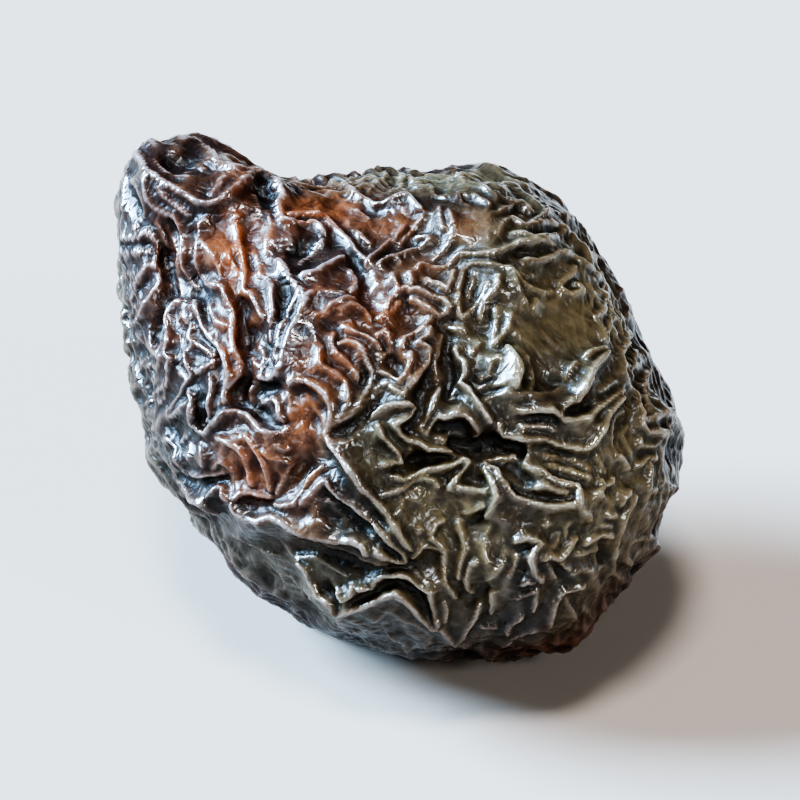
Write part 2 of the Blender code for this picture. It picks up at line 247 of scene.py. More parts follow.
    (0.6, [(466, 323), (466, 330), (464, 336)]),
    (0.9, [(470, 338), (472, 344), (474, 350), (473, 356)]),
    (0.6, [(473, 312), (475, 317), (478, 323)]),
    (0.5, [(446, 330), (450, 332), (455, 333)]),
    (0.6, [(477, 343), (480, 347), (481, 352), (479, 357)]),
    # the right
    (0.7, [(466, 279), (469, 281), (473, 282), (477, 282), (479, 284), (482, 286)]),
    (0.7, [(467, 286), (471, 284), (474, 282.5)]),
    (0.7, [(472, 287), (475, 289), (478, 291), (482, 289), (486, 287), (487, 285)]),
    (0.5, [(476, 285), (479, 287)]),
    (0.8, [(478, 290.5), (484, 290), (489, 290), (493, 291.5), (496, 294), (499, 298), (502, 302), (505, 306)]),
    (0.7, [(472, 294), (477, 295), (481, 297), (486, 296.5), (491, 294), (495, 292)]),
    (0.6, [(467, 295), (469, 291), (472, 288)]),
    (0.7, [(477, 304), (483, 305), (488, 304), (491, 302), (495, 302), (498, 304), (501, 307), (504, 310)]),
    (0.5, [(474, 310), (478, 312), (482, 311)]),
    (0.8, [(497, 307), (496, 311), (492, 314), (492, 317), (496, 319), (499, 318), (497, 314)]),
    (0.7, [(504, 310), (508, 314), (509, 320), (508, 325), (505, 328), (507, 333), (508, 338)]),
    (0.8, [(509, 310), (513, 313), (516, 317), (517, 323), (517, 328), (521, 330), (524, 334), (526, 340), (527, 346), (526, 352), (525, 360)]),
    (0.5, [(501, 314), (503, 319), (504, 324)]),
    (0.6, [(512, 320), (511, 326), (511, 332), (510, 338)]),
    (0.9, [(518, 334), (515, 339), (514, 345), (514, 350), (516, 354), (519, 358), (521, 362), (522, 366), (522, 370), (524, 373), (529, 373.5), (533, 373)]),
    (0.5, [(521, 340), (522, 345), (522, 350)]),
    (0.9, [(509, 340), (504, 342), (500, 344)]),
    (1.0, [(509, 342), (506, 345), (502, 350), (500, 355), (497, 361)]),
    (0.7, [(497, 345), (494, 349), (492, 352)]),
    (0.5, [(482, 320), (481, 325)]),
    (0.9, [(474, 365), (482, 364), (487, 364), (490, 365.5), (493, 362), (496, 359)]),
    (0.9, [(487, 364), (491, 367), (496, 367.5), (502, 367), (506, 363), (511, 359), (515, 356)]),
    (0.7, [(474, 370.5), (481, 370), (486, 370), (488, 372)]),
    (1.0, [(467, 368), (467, 371), (469, 374), (474, 374), (478, 375), (484, 375), (489, 377), (494, 378), (500, 379), (503, 377), (506, 372), (509, 366), (512, 361), (514, 359)]),
    (1.0, [(478, 375), (478, 380), (477, 385), (479, 387), (484, 388), (488, 390), (493, 392), (497, 393), (497, 398), (497, 402)]),
    (0.7, [(485, 385), (490, 385), (495, 387), (500, 389), (503, 390)]),
    (0.5, [(484, 381), (492, 382), (498, 384), (503, 387)]),
    (0.5, [(504, 381), (507, 385), (509, 388)]),
    (1.0, [(460, 384), (466, 386.5), (467, 390), (470, 393), (473, 397), (478, 398.5), (483, 400), (488, 401), (493, 400), (496, 400)]),
    (0.9, [(480, 394), (485, 393), (490, 395), (494, 396)]),
    (0.8, [(460, 383.5), (466, 382), (471, 382), (473.5, 380.5)]),
    (0.5, [(506, 357), (509, 355), (513, 352)]),
    (0.9, [(522, 369), (526, 368), (529, 367), (532, 366), (536, 365)]),
    (0.6, [(522, 374), (522, 378), (527, 378), (529, 376)]),
    (0.5, [(511, 376), (511, 371), (513, 367), (517, 364)]),
    (0.5, [(519, 369), (517, 373), (518, 378), (519, 382)]),
    (0.8, [(513, 381), (516, 384), (518, 387)]),
    (0.8, [(521, 386), (525, 382.5), (529, 383)]),
    (0.8, [(525, 383), (525, 390), (525, 396), (524, 401)]),
    (0.6, [(530, 379), (532, 384), (533, 390), (531, 395)]),
    (0.9, [(506, 390), (508, 393), (505, 396), (508, 398)]),
    (0.8, [(508, 393), (512, 391.5), (512, 389)]),
    (0.7, [(519, 394), (516, 398), (515, 402)]),
    (0.7, [(534, 395.5), (538, 393)]),
    (0.5, [(528, 396), (531, 395)]),
    (0.6, [(530, 350), (533, 356), (536, 361), (538, 367), (540, 374)]),
    (0.5, [(532, 371), (535, 369), (538, 371)]),
    # the lower middle
    (1.0, [(386, 354), (389, 352.5), (394, 353), (398, 355.5), (401, 358), (403, 362), (403, 367), (402, 370), (401, 373), (403, 377), (406, 381), (409, 385), (412, 389), (415, 394), (418, 397), (421, 400), (424, 404), (427, 409), (430, 414), (433, 417.5)]),
    (0.5, [(393, 358), (396, 362), (399, 367), (401, 372)]),
    (1.0, [(391, 401), (396, 396), (401, 391), (403, 394), (405, 396), (409, 399), (411, 400), (415, 404), (420, 409), (425, 415), (430, 419), (432, 423)]),
    (0.6, [(400, 398), (404, 399.5), (409, 400)]),
    (0.6, [(404, 390), (408, 395)]),
    (0.9, [(380, 400), (385, 401), (389, 400), (392, 396), (395, 391), (398, 387), (400, 385)]),
    (1.0, [(426, 389), (430, 391), (435, 389), (440, 387), (445, 386), (449, 385), (453, 383), (455, 384), (453, 387), (450, 391), (447, 395)]),
    (0.8, [(450, 394), (457, 394.5), (463, 395)]),
    (0.8, [(421, 397), (425, 395.5), (430, 394), (434, 391), (438, 390), (442, 391), (444, 394)]),
    (0.5, [(430, 398), (433, 395), (437, 393)]),
    (0.6, [(426, 405), (429, 401), (430, 397)]),
    (0.9, [(460, 385), (463, 389), (465, 393), (466, 397), (464, 402), (461, 406)]),
    (0.7, [(453, 404), (458, 402), (462, 400)]),
    (0.8, [(440, 412), (443, 407.5), (447, 406)]),
    (0.7, [(440, 412), (443, 415), (447, 418)]),
    (0.6, [(437, 408), (436, 412)]),
    (0.8, [(430, 415), (434, 418)]),
    (0.7, [(433, 422), (436, 419), (438, 416), (443, 417), (446, 418), (446, 424), (446, 430), (449, 434), (451, 437)]),
    (0.8, [(451, 406), (452, 410), (454, 417), (452, 423), (451, 429)]),
    (0.8, [(459, 422), (456, 423), (454, 428), (455, 433), (458, 435)]),
    (0.5, [(463, 408), (461, 413), (461, 419), (463, 423)]),
    # the lower right
    (0.9, [(472, 415), (478, 413), (483, 415), (480, 418), (479, 422), (481, 427), (484, 430)]),
    (0.6, [(461, 430), (464, 428), (468, 424), (469, 417)]),
    (0.6, [(470, 429), (473, 424), (474, 419)]),
    (0.7, [(475, 431.5), (478, 429.5), (481, 430)]),
    (0.8, [(473, 437), (477, 435), (481, 433), (481, 438), (480, 442)]),
    (0.8, [(464, 433), (465, 438), (464, 443)]),
    (0.7, [(459, 448), (465, 448.5), (467, 449)]),
    (0.8, [(470, 451), (472, 447), (477, 443)]),
    (0.7, [(472, 454), (477, 450), (481, 448), (486, 448), (487, 443), (489, 438), (492, 434), (496, 433), (500, 431)]),
    (0.6, [(474, 457), (478, 454.5), (484, 453), (489, 453)]),
    (0.8, [(469, 458), (474, 459), (480, 460), (486, 459), (491, 456), (495, 453)]),
    (0.6, [(498, 458), (500, 455), (503, 450), (505, 447)]),
    (0.9, [(483, 421.5), (486, 420), (490, 421), (493, 418), (496, 414), (498, 413)]),
    (0.7, [(485, 422), (488, 426), (490, 430)]),
    (0.6, [(491, 422), (493, 425), (496, 426)]),
    (0.7, [(500, 416), (503, 414), (507, 412), (512, 413)]),
    (0.6, [(497, 420), (503, 419), (508, 418)]),
    (0.5, [(495, 428), (499, 426), (505, 426)]),
    (0.7, [(510, 430), (513, 426), (514, 420), (514, 412), (516, 406), (519, 401), (520, 396)]),
    (0.6, [(518, 422), (520, 427), (519, 432)]),
    (0.8, [(538, 398), (537, 402), (535, 406), (532, 410), (530, 413), (529, 417), (526, 420.5), (522, 423), (521, 428), (519, 433), (515, 438), (512, 442), (508, 447)]),
    (0.5, [(530, 413.5), (526, 414.5), (520, 416)]),
    (0.6, [(512, 428), (516, 430), (518, 433)]),
    (0.6, [(492, 435), (495, 440), (497, 445)]),
    (0.6, [(500, 441), (503, 443), (504, 448)]),
    (0.6, [(493, 413), (493, 409), (495, 407)]),
    (0.5, [(487, 417), (490, 414), (491, 411)]),
    (0.5, [(506, 408.5), (512, 409)]),
    (0.6, [(484, 408), (487, 408)]),
    (0.7, [(509, 405), (514, 405)]),
    (0.7, [(497, 401), (501, 404), (503, 407)]),
    # the lower left, and the lip below it
    (1.0, [(342, 391), (346, 394), (350, 397), (354, 399), (357, 402), (359, 404)]),
    (0.8, [(354, 398), (357, 394), (360, 394), (362, 397), (365, 399)]),
    (1.0, [(365, 399), (367, 402), (371, 404.5), (376, 405.5), (381, 404.5), (385, 406), (389, 408.5), (394, 410.5), (400, 412), (405, 413.5), (411, 413.5), (415, 415), (417, 418)]),
    (0.9, [(419, 416.5), (423, 419), (428, 422), (432, 422.5)]),
    (0.7, [(365, 399), (368, 396), (371, 396), (375, 397), (380, 397.5)]),
    (0.7, [(338, 374), (341, 378), (342, 383), (344, 387)]),
    (0.5, [(342, 377), (344, 374.5), (347, 374)]),
    (0.6, [(347, 376), (347, 380), (347, 384)]),
    (0.6, [(351, 377), (352, 382), (352, 387)]),
    (0.7, [(346, 388.5), (350, 390), (355, 390), (360, 389)]),
    (0.6, [(355, 388), (357, 385), (359, 384), (362, 386), (364, 389)]),
    (0.7, [(357, 374), (362, 376), (367, 379), (369, 382), (369, 387), (370, 391), (372, 394)]),
    (0.8, [(369, 373), (372, 377), (375, 381), (377, 386), (378, 391), (379, 396)]),
    (0.6, [(375, 379), (379, 382), (384, 383), (387, 385), (385, 389), (383, 393), (381, 397)]),
    (0.5, [(381, 377), (384, 379), (387, 379)]),
    (0.7, [(333, 384), (337, 389), (341, 394), (346, 399), (350, 403), (354, 408), (357, 412), (360, 417), (363, 421)]),
    (0.5, [(329, 369.5), (330.5, 374), (333, 377), (335, 379.5)]),
    (0.5, [(336, 382), (339, 386.5)]),
    (0.6, [(363, 412), (367, 414), (371, 416.5), (375, 419), (380, 422)]),
    (0.6, [(380, 430), (384, 434), (388, 439), (391, 443), (395, 447), (400, 448)]),
    (0.5, [(382, 428), (386, 430), (390, 434), (391, 438)]),
    (0.9, [(389, 422), (393, 425), (395, 430), (398, 435), (402, 438), (405, 442), (409, 441), (414, 440), (418, 438.5), (422, 436), (427, 434), (430, 436), (434, 440), (437, 444), (441, 447), (444, 447)]),
    (0.6, [(387, 421), (392, 421), (396, 421), (400, 423), (405, 426), (409, 428)]),
    (0.6, [(394, 413.5), (402, 416), (410, 419), (418, 421), (425, 423)]),
    (0.9, [(412, 433), (416, 433), (418, 433), (420, 429), (423, 427), (428, 427), (432, 428), (436, 431), (440, 433), (441, 438), (442, 443), (444, 447)]),
    (0.8, [(404, 433), (407, 437), (410, 436), (411, 431)]),
    (0.6, [(405, 443), (406, 447), (410, 450), (416, 450), (422, 450)]),
    (0.6, [(418, 446), (422, 444), (425, 442), (429, 444), (433, 446), (437, 450), (440, 452)]),
    (0.6, [(403, 451), (407, 453), (413, 454), (419, 455), (424, 457), (428, 458)]),
    (0.6, [(423, 451), (428, 453), (432, 456), (436, 459), (441, 459), (446, 457), (452, 457), (458, 455)]),
    (0.8, [(444, 447), (447, 451), (450, 453), (453, 451), (455, 448), (458, 444), (460, 438)]),
    (0.6, [(446, 437), (447, 441), (446, 446)]),
]

# Hollows of the face: (depth in mm, half width in mm, points along the hollow)
HOLLOWS = [
    (1.0, 0.60, [(450, 377), (456, 378), (463, 377), (470, 378), (476, 380)]),
    (0.8, 0.50, [(434, 383), (441, 383), (449, 382)]),
    (1.3, 0.50, [(518, 339), (518, 346), (520, 353), (523, 360)]),
    (0.7, 0.50, [(412, 438), (417, 436), (421, 432), (428, 430), (434, 433), (438, 438), (441, 443)]),
    (0.4, 0.50, [(403, 420), (414, 424), (426, 425), (436, 424), (443, 423)]),
    (0.8, 0.60, [(334, 300), (337, 309), (338, 318), (335, 326), (332, 334)]),
    (0.6, 0.45, [(347, 294), (347, 302), (346, 309), (349, 318)]),
    (0.7, 0.45, [(351, 360), (352, 365), (353, 369)]),
    (0.6, 0.45, [(358, 343), (359, 350), (359, 358)]),
    (0.6, 0.50, [(370, 332), (369, 341), (370, 350), (367, 356)]),
    (0.9, 0.50, [(376, 355), (379, 355)]),
    (0.7, 0.45, [(374, 364), (378, 368), (383, 371)]),
    (0.7, 0.50, [(411, 303), (414, 309), (415, 316), (416, 323)]),
    (0.6, 0.45, [(367, 320), (368, 329), (368, 338)]),
    (0.6, 0.50, [(447, 331), (448, 340), (448, 350), (448, 358)]),
    (0.7, 0.50, [(441, 350), (437, 357), (437, 364), (432, 371)]),
    (0.7, 0.45, [(480, 293), (486, 293.3), (492, 292.5)]),
    (0.7, 0.45, [(477, 301), (483, 302), (488, 301)]),
    (0.7, 0.45, [(473, 394), (478, 397), (486, 398), (493, 398)]),
    (0.8, 0.45, [(459, 391), (454, 390), (452, 387)]),
    (0.7, 0.45, [(472, 383), (474, 387), (478, 391)]),
    (0.6, 0.45, [(487, 388), (493, 389), (500, 391)]),
    (0.5, 0.40, [(476, 367), (482, 367), (488, 368)]),
    (0.6, 0.45, [(492, 364), (498, 364), (503, 361)]),
    (0.6, 0.40, [(403, 373), (408, 370), (414, 367), (419, 363)]),
    (0.7, 0.45, [(446, 371), (451, 370), (455, 374), (455, 379)]),
    (0.6, 0.45, [(476, 424), (475, 418), (479, 417)]),
    (0.6, 0.45, [(486, 424), (491, 427)]),
    (0.7, 0.50, [(509, 417), (510, 423)]),
    (0.6, 0.45, [(456, 408), (459, 405)]),
    (0.6, 0.45, [(406, 400), (411, 405), (418, 412), (427, 419)]),
    (0.5, 0.45, [(400, 403), (404, 405)]),
    (0.8, 0.60, [(344, 392), (352, 393), (359, 391)]),
    (0.6, 0.50, [(424, 340), (427, 345), (428, 349)]),
    (0.5, 0.40, [(410, 343), (414, 347), (415, 354)]),
    (0.6, 0.40, [(386, 301), (392, 301)]),
    (0.6, 0.40, [(383, 315), (382, 322), (383, 328)]),
    (0.7, 0.55, [(401, 434), (404, 437)]),
    (0.7, 0.60, [(370, 276), (374, 276), (378, 279)]),
    (0.9, 0.80, [(338, 262), (344, 262), (352, 267)]),
]

# Facets of the face that lean to one side: (x, y, half width, half height, lean in u, lean in v)
LEANS = [
    (385, 340, 6, 15, -0.42, 0.26), (379, 364, 6, 7, -0.40, 0.28), (350, 358, 10, 9, -0.30, 0.28),
    (333, 315, 6, 14, -0.10, 0.26), (471, 343, 5, 12, -0.42, 0.28), (495, 355, 10, 5, -0.40, 0.34),
    (399, 304, 8, 7, -0.40, 0.30), (427, 307, 9, 7, -0.40, 0.30), (347, 269, 8, 5, -0.35, 0.35),
    (431, 277, 8, 5, -0.35, 0.25), (505, 300, 7, 9, -0.35, 0.20), (420, 409, 8, 5, -0.35, 0.30),
    (520, 372, 6, 8, -0.35, 0.10), (478, 441, 9, 6, -0.20, 0.30), (356, 327, 5, 9, -0.35, 0.20),
    (378, 413, 17, 8, 0.10, -0.34), (393, 377, 5, 14, 0.38, -0.10), (366, 300, 8, 14, 0.28, -0.10),
    (367, 381, 8, 8, 0.24, -0.16), (398, 285, 12, 6, 0.12, -0.28), (420, 293, 8, 6, 0.15, -0.25),
    (455, 295, 9, 7, 0.18, -0.28), (402, 428, 8, 6, 0.10, -0.20), (440, 395, 7, 8, 0.20, -0.15),
]


# ------------------------------------------------------------------------------------------------
# Shape functions
# ------------------------------------------------------------------------------------------------
def unit(way):
    way = np.array(way, float)
    return way / np.linalg.norm(way)


def outline_radius(angle):
    grid = np.array(OUTLINE, float)
    u = (grid[:, 0] - MIDDLE[0]) * STEP
    v = -(grid[:, 1] - MIDDLE[1]) * STEP
    turn, radius = np.arctan2(v, u), np.hypot(u, v)
    order = np.argsort(turn)
    turn, radius = turn[order], radius[order]
    even = np.linspace(-math.pi, math.pi, 720, endpoint=False)
    waves = np.fft.rfft(np.interp(even, turn, radius, period=2 * math.pi)) / len(even)
    total = np.full(np.shape(angle), waves[0].real)
    for k in range(1, OUTLINE_WAVES + 1):
        total = total + 2 * (waves[k] * np.exp(1j * k * (np.asarray(angle) + math.pi))).real
    return total


def body(ways):
    """Points of the smooth body in the face frame, in mm, for unit directions (u, v, w)."""
    across = np.hypot(ways[:, 0], ways[:, 1])
    angle = np.arctan2(ways[:, 1], ways[:, 0])
    out = ways[:, 2]
    reach = outline_radius(angle) * across * (1 + FULLNESS * (1 - across**2))
    swell = np.where(out > 0, FRONT_SWELL, BACK_SWELL)
    u, v = reach * np.cos(angle), reach * np.sin(angle)
    w = swell * out * (1 + FULLNESS * (1 - out**2)) + LEAN * v
    points = np.stack([u, v, w], axis=1)
    for way, height, spread in LUMPS:
        near = np.exp(-((ways - unit(way)) ** 2).sum(axis=1) / (2 * spread**2))
        points = points + ways * (height * near)[:, None]
    return points


def grid_line(line):
    return np.array([((x - MIDDLE[0]) * STEP, -(y - MIDDLE[1]) * STEP) for x, y in line])


def distance_to_line(places, line, reach=4.0, slopes=None):
    """How far each (u, v) place is from a bent line, in mm, and how far along the nearest point is.
    With slopes, the surface's rise towards the looker per mm of u and v, the distance is measured
    on the surface and not in the picture."""
    corners = grid_line(line)
    best = np.full(len(places), 1e3)
    share = np.zeros(len(places))
    low, high = corners.min(axis=0) - reach, corners.max(axis=0) + reach
    close = np.nonzero(((places > low) & (places < high)).all(axis=1))[0]
    if not len(close):
        return best, share
    spots = places[close]
    least, part = np.full(len(close), 1e3), np.zeros(len(close))
    for k, (a, b) in enumerate(zip(corners[:-1], corners[1:])):
        along = b - a
        t = np.clip(((spots - a) @ along) / (along @ along), 0, 1)
        off = spots - (a + t[:, None] * along)
        gap = (off * off).sum(axis=1)
        if slopes is not None:
            gap = gap + (slopes[close] * off).sum(axis=1) ** 2
        gap = np.sqrt(gap)
        closer = gap < least
        least = np.where(closer, gap, least)
        part = np.where(closer, (k + t) / (len(corners) - 1), part)
    best[close], share[close] = least, part
    return best, share


def face_folds(points, facing):
    total = np.zeros(len(points))
    for height, half_width, line in FACE_FOLDS:
        gap, share = distance_to_line(points[:, :2], line)
        ends = np.clip(np.minimum(share, 1 - share) * 5 + 0.35, 0, 1)
        total += height * ends * np.exp(-((gap / half_width) ** 2) / 1.4)
    return total * facing


def cell_gaps(points, cells, wander, bend, phase, lengthwise):
    """Second less first distance to scattered seeds, with hollows drawn out from the stem end."""
    index = np.arange(cells)
    out = 1 - 2 * (index + 0.5) / cells
    turn = index * 2.399963 + 0.35 * np.sin(index * 1.7)
    ring = np.sqrt(1 - out**2)
    seeds = body(np.stack([ring * np.cos(turn), ring * np.sin(turn), out], axis=1))
    seeds = seeds + wander * np.stack(
        [np.sin(seeds[:, 1] * 0.9 + index), np.sin(seeds[:, 2] * 1.1 + index),
         np.sin(seeds[:, 0] * 1.3 + index)], axis=1)
    axis = unit(STEM_END)
    places = points.copy()
    for k, (height, wave) in enumerate(bend):
        places = places + height * np.stack(
            [np.sin(points[:, 1] * wave * 1.05 + 1.0 + phase + k),
             np.sin(points[:, 2] * wave * 0.95 + 2.0 + phase + k),
             np.sin(points[:, 0] * wave + 0.5 + phase + k)], axis=1)
    squeeze = np.eye(3) - (1 - lengthwise) * np.outer(axis, axis)
    first = np.full(len(points), 1e9)
    second = np.full(len(points), 1e9)
    spots = places @ squeeze
    for seed in seeds @ squeeze:
        gap = np.linalg.norm(spots - seed, axis=1)
        second = np.minimum(np.maximum(first, gap), second)
        first = np.minimum(first, gap)
    return second - first


def ridge_net(points):
    gaps = cell_gaps(points, NET_CELLS, 1.6, [(0.9, 0.40)], 0.0, NET_LENGTHWISE)
    return NET_HEIGHT * np.exp(-((gaps / NET_WIDTH) ** 2) / 1.5)


def facing_share(ways):
    facing = np.clip((ways[:, 2] + 0.12) / 0.40, 0, 1)
    return facing * facing * (3 - 2 * facing)


def drawn_share(ways):
    """1 where the drawn crests hold, up to the outline of the face; 0 behind it."""
    share = np.clip((ways[:, 2] + 0.04) / 0.20, 0, 1)
    return share * share * (3 - 2 * share)


def fold_height(points, ways):
    facing = facing_share(ways)
    return (face_folds(points, facing) + ridge_net(points) * (1 - 0.80 * facing)
            - 0.9 + 0.55 * facing)


def stand_up(points):
    tilt = math.radians(FACE_ELEVATION)
    u, v, w = points.T
    return np.stack([u, v * math.sin(tilt) - w * math.cos(tilt),
                     v * math.cos(tilt) + w * math.sin(tilt)], axis=1)


def lie_down(points):
    """From the frame that the fruit stands in back to the face frame."""
    tilt = math.radians(FACE_ELEVATION)
    x, y, z = points.T
    return np.stack([x, y * math.sin(tilt) + z * math.cos(tilt),
                     -y * math.cos(tilt) + z * math.sin(tilt)], axis=1)


def round_mesh(cuts):
    """Directions and triangles of an icosahedron with its edges cut."""
    mesh = bmesh.new()
    bmesh.ops.create_icosphere(mesh, subdivisions=1, radius=1.0)
    if cuts:
        bmesh.ops.subdivide_edges(mesh, edges=mesh.edges[:], cuts=cuts, use_grid_fill=True)
    mesh.verts.ensure_lookup_table()
    mesh.verts.index_update()
    ways = np.array([vertex.co for vertex in mesh.verts])
    faces = np.array([[vertex.index for vertex in face.verts] for face in mesh.faces])
    mesh.free()
    ways /= np.linalg.norm(ways, axis=1)[:, None]
    a, b, c = ways[faces].transpose(1, 0, 2)
    if (np.cross(b - a, c - a) * a).sum(axis=1).mean() < 0:
        faces = faces[:, ::-1]
    return ways, faces


def vertex_normals(points, faces):
    a, b, c = points[faces].transpose(1, 0, 2)
    cross = np.cross(b - a, c - a)
    normals = np.zeros_like(points)
    for corner in range(3):
        for axis in range(3):
            normals[:, axis] += np.bincount(faces[:, corner], cross[:, axis], len(points))
    return normals / np.maximum(np.linalg.norm(normals, axis=1), 1e-12)[:, None]


def solid_shift():
    """What brings the drawing to the place where the solid stands: it is measured on the same
    mesh that the solid is made of."""
    ways, faces = round_mesh(CUTS)
    smooth = body(ways)
    places = stand_up(smooth + vertex_normals(smooth, faces) * fold_height(smooth, ways)[:, None])
    low, high = places.min(axis=0), places.max(axis=0)
    return np.array([-(low[0] + high[0]) / 2, -(low[1] + high[1]) / 2, -(low[2] + FOOT_SINK)])


# ------------------------------------------------------------------------------------------------
# The skin
# ------------------------------------------------------------------------------------------------
CROWDING = 0.32  # how much more finely the face is meshed than the back


def neighbours(faces, count):
    """Each vertex's neighbours in a table six wide (padded with itself), and how many it has."""
    pairs = np.concatenate([faces[:, [0, 1]], faces[:, [1, 2]], faces[:, [2, 0]]])
    pairs = np.concatenate([pairs, pairs[:, ::-1]])
    pairs = np.unique(pairs, axis=0)
    degree = np.bincount(pairs[:, 0], minlength=count)
    start = np.concatenate([[0], np.cumsum(degree)[:-1]])
    table = np.repeat(np.arange(count)[:, None], degree.max(), axis=1)
    column = np.arange(len(pairs)) - start[pairs[:, 0]]
    table[pairs[:, 0], column] = pairs[:, 1]
    return table, degree


def halve(ways, faces, values):
    """Every edge is cut in half: new directions, faces and values (carried over by averaging)."""
    edges = np.sort(np.concatenate([faces[:, [0, 1]], faces[:, [1, 2]], faces[:, [2, 0]]]), axis=1)
    unique, where = np.unique(edges, axis=0, return_inverse=True)
    where = where.reshape(3, -1) + len(ways)
    middle = ways[unique[:, 0]] + ways[unique[:, 1]]
    middle /= np.linalg.norm(middle, axis=1)[:, None]
    new_ways = np.concatenate([ways, middle])
    new_values = np.concatenate([values, (values[unique[:, 0]] + values[unique[:, 1]]) / 2])
    a, b, c = faces.T
    ab, bc, ca = where
    new_faces = np.concatenate([np.stack([a, ab, ca], 1), np.stack([b, bc, ab], 1),
                                np.stack([c, ca, bc], 1), np.stack([ab, bc, ca], 1)])
    return new_ways, new_faces, new_values


def averaged(values, table, degree, rounds):
    for _ in range(rounds):
        total = values[table].sum(axis=1) - values * (table.shape[1] - degree)[:, None]
        values = 0.5 * values + 0.5 * total / degree[:, None]
    return values


def settle(points, rest, normals, aim, hold, table, degree, growth, bending, rounds):
    """The skin finds its folds. Its edges are longer by growth than the shape that aim asks for;
    it resists bending, and hold pulls it towards that shape."""
    width = table.shape[1]
    real = (np.arange(width)[None, :] < degree[:, None]).astype(np.float32)
    rest = rest.astype(np.float32)
    normals = normals.astype(np.float32)
    points = points.astype(np.float32)
    aimed = (normals * aim[:, None]).astype(np.float32)
    asked = rest + aimed
    span = asked[table] - asked[:, None, :]
    length = np.sqrt((span * span).sum(axis=2)) * np.float32(growth)
    share = (real / degree[:, None]).astype(np.float32)
    pull = np.float32(hold)
    speed = np.zeros_like(points)
    for _ in range(rounds):
        step = points[table] - points[:, None, :]
        now = np.sqrt((step * step).sum(axis=2)) + 1e-9
        push = ((1 - length / now) * share)[:, :, None] * step
        force = 0.9 * push.sum(axis=1)
        away = points - rest - aimed
        bent = (away[table] * share[:, :, None]).sum(axis=1) - away
        bent = (bent[table] * share[:, :, None]).sum(axis=1) - bent
        force -= bending * bent
        force -= pull * away
        speed = 0.82 * speed + force
        points = points + 0.55 * speed
    return points.astype(float)


def ridge_shape(gap, width):
    """A crest with concave sides, like skin hung over a cord: 1 on the crest, 0 far from it."""
    soft = 0.14 * width
    return np.exp(-(np.sqrt(gap * gap + soft * soft) - soft) / width)


def crest_height(places, slopes, facing, least, width):
    """How near each place is to a drawn crest: 1 times its strength on the crest, 0 away from it."""
    total = np.zeros(len(places))
    for strength, line in CRESTS:
        if strength < least:
            continue
        gap, share = distance_to_line(places, line, 4 * width, slopes)
        length = np.linalg.norm(np.diff(grid_line(line), axis=0), axis=1).sum()
        taper = np.clip(np.minimum(share, 1 - share) * length / (1.2 * width) + 0.4, 0, 1)
        total = np.maximum(total, strength * taper * ridge_shape(gap, width))
    return total * facing


def hollow_depth(places, slopes, facing, widen):
    total = np.zeros(len(places))
    for depth, width, line in HOLLOWS:
        gap, share = distance_to_line(places, line, 4.0, slopes)
        total = np.maximum(total, depth * np.exp(-((gap / (width * widen)) ** 2)))
    return total * facing


def crumple(points, waves, phase):
    """Flat facets that meet in creases: triangle waves that run in many directions, a little bent."""
    bent = points + 0.35 * np.stack([np.sin(points[:, 1] * 0.8 + phase),
                                     np.sin(points[:, 2] * 0.9 + 2 * phase),
                                     np.sin(points[:, 0] * 0.7 + 3 * phase)], axis=1)
    total = np.zeros(len(points))
    for k, (height, length) in enumerate(waves):
        turn = 2.4 * k + phase
        way = unit((math.cos(turn), math.sin(turn), 0.5 * math.sin(3.1 * turn)))
        along = bent @ way / length + 0.37 * k
        total += height * (4 * np.abs(along - np.floor(along + 0.5)) - 1)
    return total


def leaning(places):
    """The facets that lean: planes through their middles that fade out around them."""
    total = np.zeros(len(places))
    for x, y, wide, high, lean_u, lean_v in LEANS:
        du = places[:, 0] - (x - MIDDLE[0]) * STEP
        dv = places[:, 1] + (y - MIDDLE[1]) * STEP
        fade = np.exp(-((du / (wide * STEP)) ** 2 + (dv / (high * STEP)) ** 2) ** 1.5)
        total -= (lean_u * du + lean_v * dv) * fade
    return total


